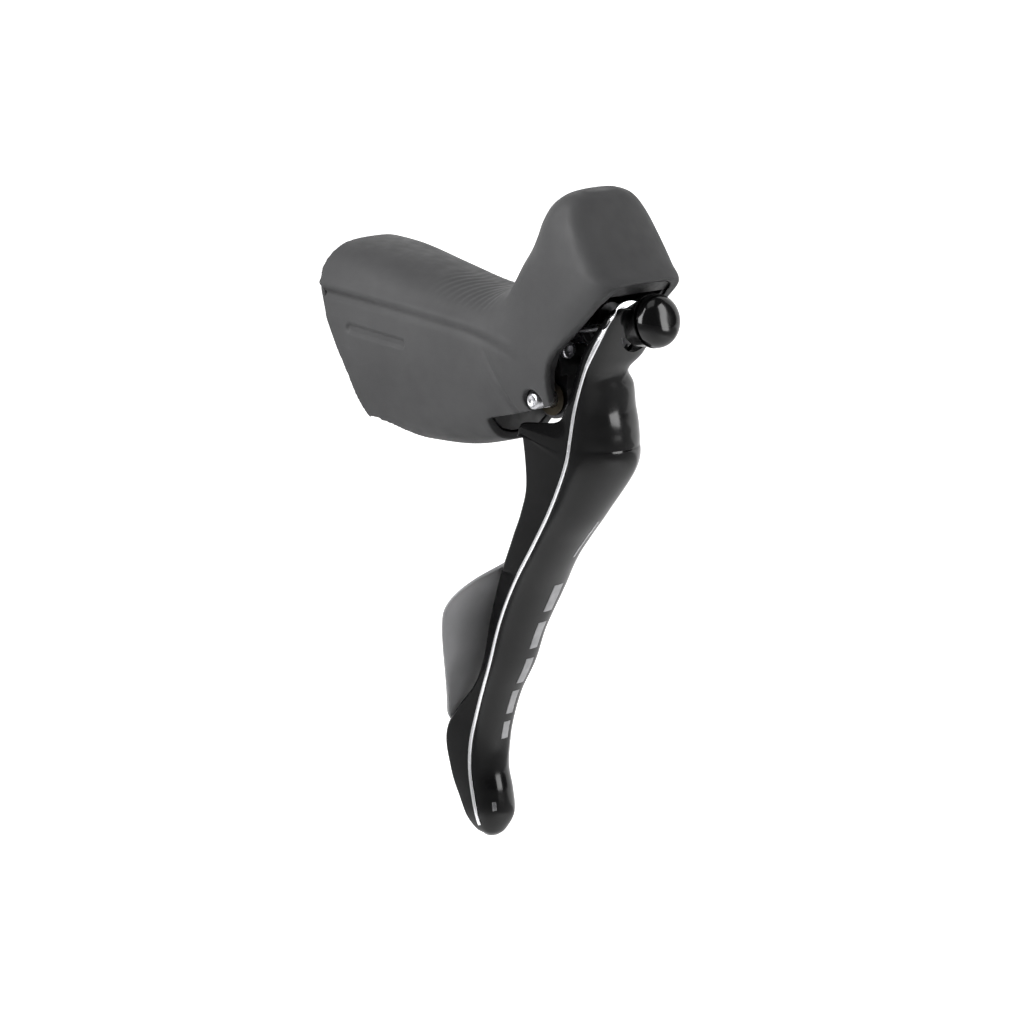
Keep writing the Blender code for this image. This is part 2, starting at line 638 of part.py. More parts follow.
def make_cylinder():
    z = CYLINDER_HEIGHT
    x = CYLINDER_BACK
    radius = CYLINDER_RADIUS - 0.1
    piston_profile = (
        (0.0, 12.0),
        (1.6, 12.0),
        (radius, 12.0),
        (radius, 10.0),
        (3.3, 10.0),
        (3.3, 8.4),
        (radius, 8.4),
        (radius, 3.6),
        (3.3, 3.6),
        (3.3, 2.0),
        (radius, 2.0),
        (radius, 0.0),
        (0.0, 0.0),
    )
    piston = turned("master_piston", piston_profile, (x + 0.5, 0, z), (1, 0, 0), ALLOY, PISTON)
    cut(piston, rod("rod_seat", (x + 6.0, 0, z), (x + 16.0, 0, z), 1.5, sides=16))
    ring("primary_seal", radius, 3.6, (x + 8.9 + 0.3, 0, z), (x + 10.5 - 0.3, 0, z), SEAL, PISTON)
    ring("secondary_seal", radius, 3.6, (x + 2.5 + 0.3, 0, z), (x + 4.1 - 0.3, 0, z), SEAL, PISTON)
    gland_start = (CYLINDER_FRONT + GAP, 0, z)
    gland_end = (CYLINDER_FRONT + 5.0, 0, z)
    ring("cylinder_gland", CYLINDER_RADIUS + 1.3, 1.6, gland_start, gland_end, ALLOY, ROOT)
    spring_points = coil((x + 13.2, 0, z), (1, 0, 0), 3.6, 1.75, 4.6)
    wire("piston_spring", spring_points, 0.4, SPRING, ROOT)
    pull_rod = rod("pull_rod", (x + 6.4, 0, z), (CLEVIS.x - 2.0, 0, z), 1.2, STEEL, PISTON, sides=16)
    join(pull_rod, across("rod_eye", CLEVIS, 1.2, 2.6, sides=20))
    cut(pull_rod, across("eye_hole", CLEVIS, 5, 1.5, sides=20))


def make_pivot():
    length = 2 * PIN_HALF_LENGTH
    pin_profile = (
        (0.0, length),
        (PIN_RADIUS - 0.35, length),
        (PIN_RADIUS, length - 0.35),
        (PIN_RADIUS, 0.35),
        (PIN_RADIUS - 0.35, 0.0),
        (0.0, 0.0),
    )
    start = PIVOT - Vector((0, PIN_HALF_LENGTH, 0))
    turned("pivot_pin", pin_profile, start, (0, 1, 0), STEEL, ROOT)
    bush = (
        (PIN_RADIUS + 0.1, -3.4),
        (PIN_RADIUS + 0.1, 0.4),
        (4.6, 0.4),
        (4.6, -0.3),
        (3.7, -0.3),
        (3.7, -3.4),
    )
    for name, side in (("pivot_bush_near", -1), ("pivot_bush_far", 1)):
        outward = Vector((0, side, 0))
        turned(name, bush, PIVOT + outward * (BOSS_HALF_WIDTH + 0.6), outward, BRASS, LEVER)
    spring = coil(PIVOT + Vector((0, 7.7, 0)), (0, 1, 0), 4.2, 0.85, 2.5, steps=16)
    spring.append(spring[-1] + Vector((-1.5, 0, 3.0)))
    wire("lever_return_spring", spring, 0.35, SPRING, LEVER)


def make_carrier():
    """The casting that turns on the pivot pin and holds the shift unit."""
    spine = (
        (64.6, -11.5),
        (71.6, -11.8),
        (73.0, -4.0),
        (73.0, 0.0),
        (69.6, 4.2),
        (69.6, 0.5),
        (64.6, -4.0),
    )
    pawl_pin = (along_shift(-24.0, PAWL_PIN_Y, PAWL_PIN_UP), along_shift(-19.8, PAWL_PIN_Y, PAWL_PIN_UP))
    carrier = prism("lever_carrier", spine, -BOSS_HALF_WIDTH, BOSS_HALF_WIDTH, ALLOY, LEVER)
    rear = ((-13.1, -11.5), (6.3, -11.5), (6.3, 7.2), (-13.1, 7.2))
    floor = ((71.6, 0.6), (80.6, 2.6), (80.6, 4.8), (71.6, 3.1))
    foot = ((-5.0, -8.2), (4.4, -8.2), (4.4, 0.0), (-5.0, 0.0))
    join(
        carrier,
        across("boss", PIVOT, BOSS_HALF_WIDTH, BOSS_RADIUS),
        wafer("rear_plate", rear, -25.4, -22.6),
        prism("unit_floor", floor, -1.5, 6.9),
        rod("front_plate", along_shift(-15.6), along_shift(-14.1), 6.0),
        wafer("front_foot", foot, -15.6, -14.1),
        rod("pawl_pin", *pawl_pin, 0.7, sides=12),
    )
    lug = ((63.6, 0.6), (65.0, -0.6), (71.0, -0.6), (71.0, 4.6), (65.0, 4.6), (63.6, 3.4))
    for name, low in (("clevis_lug_near", -4.4), ("clevis_lug_far", 1.8)):
        join(carrier, prism(name, lug, low, low + 2.6))
    behind = Vector((-9, 0, 0))
    ahead = Vector((11, 0, 0))
    cut(
        carrier,
        across("boss_hole", PIVOT, 12, 4.0),
        rod("axle_hole", along_shift(-30), along_shift(0), AXLE_RADIUS + 0.1),
        rod("reach_hole", REACH_SCREW + behind, REACH_SCREW + ahead, 1.7, sides=16),
        across("clevis_hole", CLEVIS, 6, 1.25, sides=16),
        prism("clevis_slot", ((60, -3.2), (69.2, -3.2), (69.2, 8), (60, 8)), -1.6, 1.6),
    )
    across("clevis_pin", CLEVIS, 4.6, 0.95, STEEL, LEVER, 16)
    head = (REACH_HEAD_X, REACH_SCREW.y, REACH_SCREW.z)
    socket_screw("reach_screw", head, (-1, 0, 0), 1.4, 2.3, 8.6, 1.6, REACH)


def make_axle():
    axle = (
        (0.0, 28.0),
        (1.5, 28.0),
        (AXLE_RADIUS, 27.4),
        (AXLE_RADIUS, 0.0),
        (1.4, 0.0),
        (1.4, -0.8),
        (AXLE_RADIUS, -0.8),
        (AXLE_RADIUS, -1.4),
        (0.0, -1.4),
    )
    turned("shift_axle", axle, along_shift(-26.8), SHIFT_AXIS, STEEL, LEVER)
    ring("axle_clip", 4.2, 1.6, along_shift(-27.45), along_shift(-26.95), SPRING, LEVER)


def make_nose_cap():
    """The rounded cap on the front end of the shift axle."""
    nose = (
        (0.0, 7.0),
        (2.2, 6.7),
        (4.2, 5.7),
        (5.8, 4.2),
        (6.8, 2.3),
        (NOSE_RADIUS, 0.4),
        (NOSE_RADIUS, 0.0),
        (AXLE_RADIUS + 0.2, 0.0),
        (AXLE_RADIUS + 0.2, 1.6),
        (0.0, 1.6),
    )
    turned("nose_cap", nose, along_shift(0.3), SHIFT_AXIS, GLOSS, LEVER, steps=32)


def make_spool():
    spool = (
        (WHEEL_RADIUS, 3.9),
        (WHEEL_RADIUS, 3.2),
        (5.0, 2.6),
        (5.0, 1.3),
        (WHEEL_RADIUS, 0.7),
        (WHEEL_RADIUS, 0.0),
        (AXLE_RADIUS + 0.1, 0.0),
        (AXLE_RADIUS + 0.1, 3.9),
    )
    turned("cable_spool", spool, along_shift(-19.9), SHIFT_AXIS, COMPOSITE, SPOOL)
    bore = AXLE_RADIUS + 0.1
    faces = (along_shift(-22.2), along_shift(-20.2))
    ratchet = ring("ratchet_wheel", 5.4, bore, *faces, STEEL, SPOOL)
    for i in range(RATCHET_TEETH):
        angle = 2 * pi * i / RATCHET_TEETH
        lift = Vector((0, cos(angle), 0)) + SHIFT_UP * sin(angle)
        foot = along_shift(-21.2) + lift * 4.6
        join(ratchet, rod(f"tooth_{i}", foot, foot + lift * 1.7, 1.1, sides=4, end_radius=0.4))


def make_pawls():
    """The pawl that holds the ratchet wheel, and the arm and pawl with which the blade drives it."""
    hold = ((-6.9, 7.9), (-6.9, 5.4), (-4.2, 5.6), (-0.9, 6.75), (-0.3, 8.1))
    hold_pawl = wafer("hold_pawl", hold, -22.1, -20.3, STEEL, LEVER)
    pin_start = along_shift(-25, PAWL_PIN_Y, PAWL_PIN_UP)
    cut(hold_pawl, rod("hold_pawl_hole", pin_start, pin_start + SHIFT_AXIS * 10, 0.9, sides=12))
    half_arm = ((-9.6, 1.6), (-3.0, 3.6), (0.0, 4.4), (3.4, 3.0))
    mirrored = [(y, -up) for y, up in half_arm]
    arm = mirrored + [(4.4, 0.0)] + list(reversed(half_arm))
    drive_arm = wafer("drive_arm", arm, -6.2, -5.0, STEEL, BLADE)
    finger_end = along_shift(-22.4, FINGER_Y)
    join(drive_arm, rod("finger", finger_end, along_shift(-5.6, FINGER_Y), 1.0, sides=16))
    cut(drive_arm, rod("drive_arm_hole", along_shift(-12), along_shift(0), AXLE_RADIUS + 0.1))
    feed = (
        (-9.8, 0.9),
        (-8.8, 1.9),
        (-7.3, 1.7),
        (-6.8, -1.2),
        (-5.8, -3.7),
        (-6.9, -3.9),
        (-9.6, -1.2),
    )
    feed_pawl = wafer("feed_pawl", feed, -22.1, -20.3, STEEL, BLADE)
    finger_start = along_shift(-25, FINGER_Y)
    cut(feed_pawl, rod("feed_pawl_hole", finger_start, finger_start + SHIFT_AXIS * 10, 1.2, sides=16))


def make_shift_springs():
    rows = (
        ("blade_return_spring", -13.0, 1.4, LEVER),
        ("paddle_return_spring", -11.2, 1.3, BLADE),
    )
    for name, start, turns, moved_by in rows:
        points = coil(along_shift(start), SHIFT_AXIS, 3.5, 0.95, turns, 12)
        wire(name, points, 0.3, SPRING, moved_by)


def blade_frame(i):
    """The trim line's point at a cross-section, and the forward direction square to it."""
    before = BLADE_SECTIONS[max(i - 1, 0)][0]
    after = BLADE_SECTIONS[min(i + 1, len(BLADE_SECTIONS) - 1)][0]
    down = Vector((after[0] - before[0], 0.0, after[1] - before[1])).normalized()
    x, z = BLADE_SECTIONS[i][0]
    return Vector((x, 0.0, z)), Vector((-down.z, 0.0, down.x))


def blade_ring(i):
    """A crowned front, two flanks, and a back that is hollowed into a channel."""
    _, near, width, crown, near_depth, far_depth, hollow = BLADE_SECTIONS[i]
    origin, forward = blade_frame(i)
    steps = 10
    front = [pi * k / steps for k in range(steps + 1)]
    outline = [(near + width / 2 * (1 - cos(a)), crown * sin(a) ** 0.8) for a in front]
    wall = min(BLADE_WALL, width * 0.3)
    outline.append((near + width - 0.2, -far_depth))
    outline.append((near + width - wall, -far_depth))
    for a in reversed(front[1:-1:2]):
        y = near + wall + (width - 2 * wall) / 2 * (1 - cos(a))
        share = (y - near) / width
        back = -near_depth * (1 - share) - far_depth * share
        floor = crown * sin(a) ** 0.8 - BLADE_SKIN
        outline.append((y, back * (1 - hollow) + floor * hollow))
    outline.append((near + wall, -near_depth))
    outline.append((near + 0.2, -near_depth))
    return [origin + forward * n + Vector((0, y, 0)) for y, n in outline]


def make_blade():
    rings = [blade_ring(i) for i in range(len(BLADE_SECTIONS))]
    blade = loft("brake_blade", rings, GLOSS, BLADE)
    cut(blade, rod("unit_pocket", along_shift(-20), along_shift(-4.7), 7.6))
    join(blade, rod("blade_hub", along_shift(-4.6), along_shift(-0.1), 6.4))
    cut(blade, rod("hub_hole", along_shift(-12), along_shift(6), AXLE_RADIUS + 0.1))
    arm_pocket = ((-10.2, -2.4), (0, -5), (0, 5), (-10.2, 4.6))
    foot_pocket = ((-7.0, -9.4), (6.4, -9.4), (6.4, 0), (-7.0, 0))
    floor_pocket = ((70, -0.2), (81.2, 2.0), (81.2, 5.4), (70, 5.4))
    paddle_room = ((89.2, 10.4), (86.9, 6.6), (84.9, 2.6), (82.6, -2.4), (78.6, -9), (72, -9), (80, 10.4))
    cut(
        blade,
        wafer("drive_arm_pocket", arm_pocket, -24, -4.7),
        wafer("foot_pocket", foot_pocket, -20, -13.7),
        prism("floor_pocket", floor_pocket, -3.2, 8.4),
        prism("paddle_room", paddle_room, -5.8, 5.0),
    )


def make_trim():
    """The bright wire beside the near edge of the blade."""
    trim = []
    for i in range(1, len(BLADE_SECTIONS) - 2):
        origin, forward = blade_frame(i)
        near = BLADE_SECTIONS[i][1]
        trim.append(origin + forward * 0.5 + Vector((0, near - STRIPE_RADIUS - 0.35, 0)))
    wire("blade_trim", trim, STRIPE_RADIUS, SILVER, BLADE)


def paddle_ring(i):
    centre, near, far, thickness = PADDLE_SECTIONS[i]
    before = PADDLE_SECTIONS[max(i - 1, 0)][0]
    after = PADDLE_SECTIONS[min(i + 1, len(PADDLE_SECTIONS) - 1)][0]
    down = Vector((after[0] - before[0], 0.0, after[1] - before[1])).normalized()
    forward = Vector((-down.z, 0.0, down.x))
    origin = Vector((centre[0], (near + far) / 2, centre[1]))
    half = (far - near) / 2
    points = []
    for k in range(16):
        angle = 2 * pi * k / 16
        y = half * signed_power(cos(angle), 0.7)
        n = thickness / 2 * signed_power(sin(angle), 0.7)
        points.append(origin + Vector((0, y, 0)) + forward * n)
    return points


def make_paddle():
    rings = [paddle_ring(i) for i in range(len(PADDLE_SECTIONS))]
    paddle = loft("release_paddle", rings, PADDLE, RELEASE)
    join(paddle, rod("paddle_hub", along_shift(-9.3), along_shift(-6.6), 5.4))
    cut(paddle, rod("paddle_hole", along_shift(-12), along_shift(0), AXLE_RADIUS + 0.1))


make_hood()
make_bracket()
make_reservoir()
make_bleed_screw()
make_clamp()
make_ports()
make_cylinder()
make_pivot()
make_carrier()
make_axle()
make_nose_cap()
make_spool()
make_pawls()
make_shift_springs()
make_blade()
make_trim()
make_paddle()
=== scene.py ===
"""Looks for the left-hand drop-bar brake and shift lever.

+X points forward, +Y outboard, +Z up. Lengths are in millimetres here and become metres in the meshes.
"""
import json
from math import cos, pi, radians, sin

import bmesh
import bpy
import numpy as np
from mathutils import Matrix, Vector


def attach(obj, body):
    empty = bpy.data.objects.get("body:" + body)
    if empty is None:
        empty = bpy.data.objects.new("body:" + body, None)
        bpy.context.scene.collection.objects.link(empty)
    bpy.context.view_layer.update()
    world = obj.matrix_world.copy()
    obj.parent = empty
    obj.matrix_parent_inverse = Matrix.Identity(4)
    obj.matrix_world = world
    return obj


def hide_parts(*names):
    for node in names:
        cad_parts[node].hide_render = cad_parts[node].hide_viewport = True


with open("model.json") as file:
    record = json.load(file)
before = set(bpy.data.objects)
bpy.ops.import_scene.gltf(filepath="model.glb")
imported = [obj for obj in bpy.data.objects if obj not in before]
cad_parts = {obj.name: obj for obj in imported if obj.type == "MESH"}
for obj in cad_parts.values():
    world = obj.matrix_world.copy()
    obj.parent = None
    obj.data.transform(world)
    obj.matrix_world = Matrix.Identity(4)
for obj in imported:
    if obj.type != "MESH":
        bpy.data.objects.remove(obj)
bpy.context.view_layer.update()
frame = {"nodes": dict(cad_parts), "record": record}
NODES = frame["nodes"]

MM = 0.001
SHARP_ANGLE = radians(38)
GRAIN_DETAIL = 2.0

# Camera: the lever seen from its inner front quarter
CAMERA_TARGET = Vector((46.4, 0.0, -42.1))
CAMERA_AZIMUTH = radians(45)
CAMERA_ELEVATION = radians(10)
CAMERA_DISTANCE = 2730.0
LENS = 360.0

# Stage and lights
FLOOR_Z = -420.0
STAGE_HALF_WIDTH = 6000.0
STAGE_FRONT = 6000.0
FLOOR_BACK = -900.0
CURVE_START = -1500.0
CURVE_RADIUS = 900.0
CURVE_STEPS = 12
BACKDROP_TOP = 4500.0
FLOOR_GLOW = 0.05
BACKDROP_GLOW = 0.9
WORLD_STRENGTH = 0.1

# Handlebar, which bends back above the clamp
BAR_RADIUS = 12.0
BAR_CLEARANCE = 0.7
BAR_TILT = radians(21)
BAR_FORWARD = Vector((cos(BAR_TILT), 0.0, sin(BAR_TILT)))
BAR_UP = Vector((-sin(BAR_TILT), 0.0, cos(BAR_TILT)))
BAR_BEND = Vector((-1.0, 0.0, 0.12))

# Pivot pin, across the lever
PIVOT = Vector((68.0, 0.0, -8.0))
PIN_RADIUS = 2.25
PIN_HALF_LENGTH = 14.2

# Shift axis
SHIFT_CENTRE = Vector((94.5, 3.5, 14.3))
SHIFT_TILT = radians(10)
SHIFT_AXIS = Vector((cos(SHIFT_TILT), 0.0, sin(SHIFT_TILT)))
SHIFT_UP = Vector((-sin(SHIFT_TILT), 0.0, cos(SHIFT_TILT)))
AXLE_RADIUS = 2.4
AXLE_HOLE_RADIUS = AXLE_RADIUS + 0.1
NOSE_RADIUS = 7.2

# Hood: one row for each cross-section from the bar to the top of the horn:
# upper or rear edge x, z, lower or front edge x, z, half width, share of the height above
# the widest line, roundness above it, roundness below it, how far the middle bulges.
HOOD_SECTIONS = np.array((
    (-14.0, 27.2, 2.5, -23.6, 18.0, 0.33, 3.0, 3.2, 0.0),
    (2.0, 26.2, 12.4, -24.3, 17.9, 0.32, 2.8, 3.2, 0.0),
    (18.0, 23.4, 24.0, -24.8, 17.4, 0.29, 2.4, 3.1, 0.0),
    (34.0, 20.2, 38.5, -24.2, 16.8, 0.26, 2.2, 3.1, 0.0),
    (45.0, 18.8, 54.0, -20.6, 16.3, 0.26, 2.2, 3.0, 0.0),
    (51.0, 19.6, 66.5, -17.4, 16.1, 0.3, 2.3, 3.0, 0.0),
    (54.8, 21.4, 77.0, -13.0, 16.0, 0.36, 2.6, 3.2, 0.02),
    (57.8, 24.6, 82.4, -2.0, 16.0, 0.42, 3.0, 3.6, 0.04),
    (60.8, 28.6, 88.0, 10.0, 16.2, 0.46, 3.2, 3.8, 0.06),
    (63.6, 32.6, 98.4, 22.0, 16.3, 0.48, 3.2, 4.0, 0.08),
    (66.0, 36.6, 96.0, 27.0, 16.2, 0.5, 3.2, 3.8, 0.1),
    (68.2, 41.0, 91.0, 34.6, 15.7, 0.5, 3.0, 3.4, 0.12),
    (71.0, 45.0, 86.6, 41.0, 14.2, 0.5, 2.8, 3.0, 0.1),
    (74.2, 47.6, 83.6, 45.6, 11.0, 0.5, 2.6, 2.6, 0.04),
    (77.0, 48.6, 81.0, 48.0, 6.0, 0.5, 2.4, 2.4, 0.0),
))
HOOD_THICKNESS = 2.0
HOOD_RINGS = 150
HOOD_POINTS = 128
HOOD_VOXEL = 0.42
HOOD_SMOOTHING = 6
HORN_TOP_DROP = ((-3, 0.3), (-2, 0.7), (-1, 1.0))
NOTCH = ((50, -8), (90, -8), (90, -30), (50, -30))
NOTCH_NEAR_Y = -12.9
NOTCH_FAR_Y = 11.0

# The hood's rear edge, side view: everything behind this line is open.
REAR_LINE = (
    (-5.4, 32.0),
    (-7.6, 26.0),
    (-8.9, 20.0),
    (-8.6, 14.0),
    (-6.6, 6.5),
    (-3.2, 0.0),
    (1.0, -8.0),
    (3.6, -15.5),
    (7.4, -28.0),
)

# The hood's front edge, side view: everything ahead of this line is open.
RIM_LINE = np.array((
    (99.0, 27.2),
    (91.3, 19.9),
    (83.6, 12.5),
    (77.2, 6.4),
    (74.6, 2.6),
    (73.7, -2.0),
    (73.6, -8.0),
    (74.4, -11.6),
    (76.0, -15.0),
    (79.0, -20.0),
))

# On the hood, side view: the crease under the top, the line of the lower lobe and the pressed-in
# mark, then how deep these and the ribs on top go.
CREASE = np.array(((-14, 15.0), (-6.6, 14.3), (21.4, 11.8), (46.1, 8.9), (58.3, 5.8), (63.2, 3.7), (67, 1.0)))
LOBE = np.array(((50.5, 6.5), (55, -1), (58.8, -6.6), (62.2, -11.9), (65.6, -15.6)))
MARK_START = np.array((2.8, 4.6))
MARK_END = np.array((21.9, 2.5))
MARK_HALF_HEIGHT = 1.2
MARK_DEPTH = 0.7
CREASE_DEPTH = 0.6
LOBE_DEPTH = 0.32
RIB_PITCH = 2.4
RIB_DEPTH = 0.12

# The blade, one row for each cross-section from the head to the tip: trim line x, z, y of the near
# edge, width, height of the crowned front, depth of the near flank, depth of the far flank, hollowness.
BLADE_SECTIONS = np.array((
    (92.6, 18.4, -6.0, 12.0, 1.0, 1.2, 1.2, 0.0),
    (91.4, 16.4, -8.2, 17.5, 1.8, 1.6, 1.6, 0.0),
    (88.6, 11.8, -9.0, 20.0, 2.6, 2.2, 2.2, 0.6),
    (84.4, 5.6, -9.0, 19.6, 3.6, 2.8, 2.6, 1.0),
    (82.1, 1.0, -9.0, 16.0, 3.6, 2.8, 2.8, 1.0),
    (80.4, -3.4, -9.0, 19.2, 5.0, 2.8, 3.0, 1.0),
    (78.4, -9.5, -9.0, 21.2, 6.8, 3.4, 3.4, 1.0),
    (77.3, -15.0, -9.0, 22.8, 8.0, 6.0, 3.8, 1.0),
    (76.4, -19.5, -9.0, 23.6, 8.8, 18.6, 4.0, 1.0),
    (75.2, -25.0, -9.0, 24.0, 9.0, 18.0, 4.0, 1.0),
    (69.7, -36.2, -8.6, 20.0, 7.6, 11.4, 3.6, 1.0),
    (64.6, -44.2, -8.2, 18.5, 6.4, 8.6, 3.2, 1.0),
    (60.3, -50.7, -8.0, 17.6, 6.0, 7.4, 3.0, 1.0),
    (54.0, -59.9, -7.6, 18.4, 6.2, 5.4, 2.6, 1.0),
    (48.3, -71.3, -7.2, 16.6, 6.2, 3.6, 2.2, 1.0),
    (44.8, -81.6, -6.8, 15.8, 5.4, 2.8, 2.0, 1.0),
    (41.3, -90.2, -6.4, 14.0, 4.6, 3.4, 2.0, 1.0),
    (38.2, -98.8, -6.0, 13.4, 4.6, 7.4, 2.4, 1.0),
    (36.4, -105.3, -6.0, 13.6, 5.0, 9.6, 2.8, 0.8),
    (35.9, -112.9, -5.8, 13.2, 5.2, 7.6, 2.8, 0.4),
    (36.7, -119.7, -5.4, 13.6, 5.2, 5.6, 2.6, 0.0),
    (37.6, -125.6, -4.8, 13.0, 4.6, 4.0, 2.4, 0.0),
    (37.9, -129.4, -3.0, 8.6, 3.0, 2.4, 2.0, 0.0),
    (37.8, -131.2, -0.6, 3.8, 1.2, 1.2, 1.2, 0.0),
))
BLADE_RINGS = 240
BLADE_WALL = 1.9
BLADE_SKIN = 2.6
CROWN_POWER = 0.8
BLADE_POCKET_RADIUS = 7.6
TRIM_FIRST = 32
TRIM_LEFT_OFF = 14

# The release paddle, from its hub down: centre x, z, near y, far y, thickness
PADDLE_SECTIONS = np.array((
    (87.8, 10.4, -1.0, 4.0, 1.8),
    (85.4, 7.4, -2.0, 3.0, 1.8),
    (83.3, 3.4, -2.8, 2.0, 1.8),
    (80.8, -1.8, -2.6, 2.4, 1.8),
    (76.8, -12.0, -0.6, 4.4, 2.2),
    (72.2, -22.0, 1.4, 6.4, 2.4),
    (66.0, -33.0, 1.8, 6.6, 2.4),
    (57.2, -44.5, 1.4, 6.6, 2.2),
    (50.6, -53.0, -2.0, 6.4, 2.0),
    (46.4, -58.6, -13.6, 6.0, 1.9),
    (43.6, -62.6, -18.6, 5.6, 1.9),
    (41.6, -66.6, -20.6, 5.4, 1.9),
    (39.9, -71.4, -19.8, 5.0, 1.9),
    (37.8, -78.0, -17.4, 4.6, 1.9),
    (34.4, -86.0, -13.2, 4.2, 1.9),
    (30.6, -93.4, -8.8, 3.6, 1.9),
    (28.4, -98.0, -6.4, 2.6, 1.9),
    (27.4, -100.2, -4.4, 0.6, 1.6),
))


# ---------------------------------------------------------------- camera, stage and lights

def aim(thing, target):
    direction = target * MM - thing.location
    thing.rotation_euler = direction.to_track_quat("-Z", "Y").to_euler()


def from_camera_side(azimuth, elevation, distance):
    """A place around the camera's target, at an azimuth turned from the -Y direction."""
    flat = cos(elevation)
    away = Vector((sin(azimuth) * flat, -cos(azimuth) * flat, sin(elevation)))
    return (CAMERA_TARGET + away * distance) * MM


def make_camera():
    data = bpy.data.cameras.new("camera")
    data.lens = LENS
    data.sensor_width = 36.0
    camera = bpy.data.objects.new("camera", data)
    bpy.context.scene.collection.objects.link(camera)
    camera.location = from_camera_side(CAMERA_AZIMUTH, CAMERA_ELEVATION, CAMERA_DISTANCE)
    aim(camera, CAMERA_TARGET)
    bpy.context.scene.camera = camera


def area_light(name, azimuth, elevation, distance, size, power):
    data = bpy.data.lights.new(name, "AREA")
    data.shape = "RECTANGLE"
    data.size, data.size_y = (size[0] * MM, size[1] * MM)
    data.energy = power
    light = bpy.data.objects.new(name, data)
    bpy.context.scene.collection.objects.link(light)
    light.location = from_camera_side(radians(azimuth), radians(elevation), distance)
    aim(light, CAMERA_TARGET)


def make_lights():
    area_light("left_softbox", -14, 30, 620, (320, 700), 8.0)
    area_light("right_softbox", 122, 20, 900, (300, 900), 6.5)
    area_light("top_softbox", 60, 78, 900, (500, 500), 1.2)
    world = bpy.data.worlds.new("studio")
    world.use_nodes = True
    background = world.node_tree.nodes["Background"]
    background.inputs["Color"].default_value = (1.0, 1.0, 1.0, 1.0)
    background.inputs["Strength"].default_value = WORLD_STRENGTH
    bpy.context.scene.world = world
    bpy.context.scene.view_settings.view_transform = "Standard"


def make_stage():
    """A pale floor that curves up into a bright backdrop, well clear of the lever."""
    profile = [(STAGE_FRONT, FLOOR_Z), (FLOOR_BACK, FLOOR_Z), (CURVE_START, FLOOR_Z)]
    for i in range(1, CURVE_STEPS + 1):
        angle = pi / 2 * i / CURVE_STEPS
        back = CURVE_START - CURVE_RADIUS * sin(angle)
        profile.append((back, FLOOR_Z + CURVE_RADIUS * (1 - cos(angle))))
    profile.append((CURVE_START - CURVE_RADIUS, BACKDROP_TOP))
    shape = bmesh.new()
    rows = []
    for side in (-STAGE_HALF_WIDTH, STAGE_HALF_WIDTH):
        rows.append([shape.verts.new((along * MM, side * MM, z * MM)) for along, z in profile])
    for i in range(len(profile) - 1):
        face = shape.faces.new((rows[0][i], rows[0][i + 1], rows[1][i + 1], rows[1][i]))
        face.material_index = min(i, 1)
    mesh = bpy.data.meshes.new("stage")
    shape.to_mesh(mesh)
    shape.free()
    mesh.shade_smooth()
    stage = bpy.data.objects.new("stage", mesh)
    stage.rotation_euler = (0.0, 0.0, CAMERA_AZIMUTH - pi / 2)
    bpy.context.scene.collection.objects.link(stage)
    for name, glow in (("floor_paper", FLOOR_GLOW), ("backdrop_paper", BACKDROP_GLOW)):
        paper = bpy.data.materials.new(name)
        paper.use_nodes = True
        shader = paper.node_tree.nodes["Principled BSDF"]
        shader.inputs["Base Color"].default_value = (0.95, 0.95, 0.95, 1.0)
        shader.inputs["Roughness"].default_value = 0.9
        shader.inputs["Emission Color"].default_value = (1.0, 1.0, 1.0, 1.0)
        shader.inputs["Emission Strength"].default_value = glow
        mesh.materials.append(paper)


# ---------------------------------------------------------------- materials

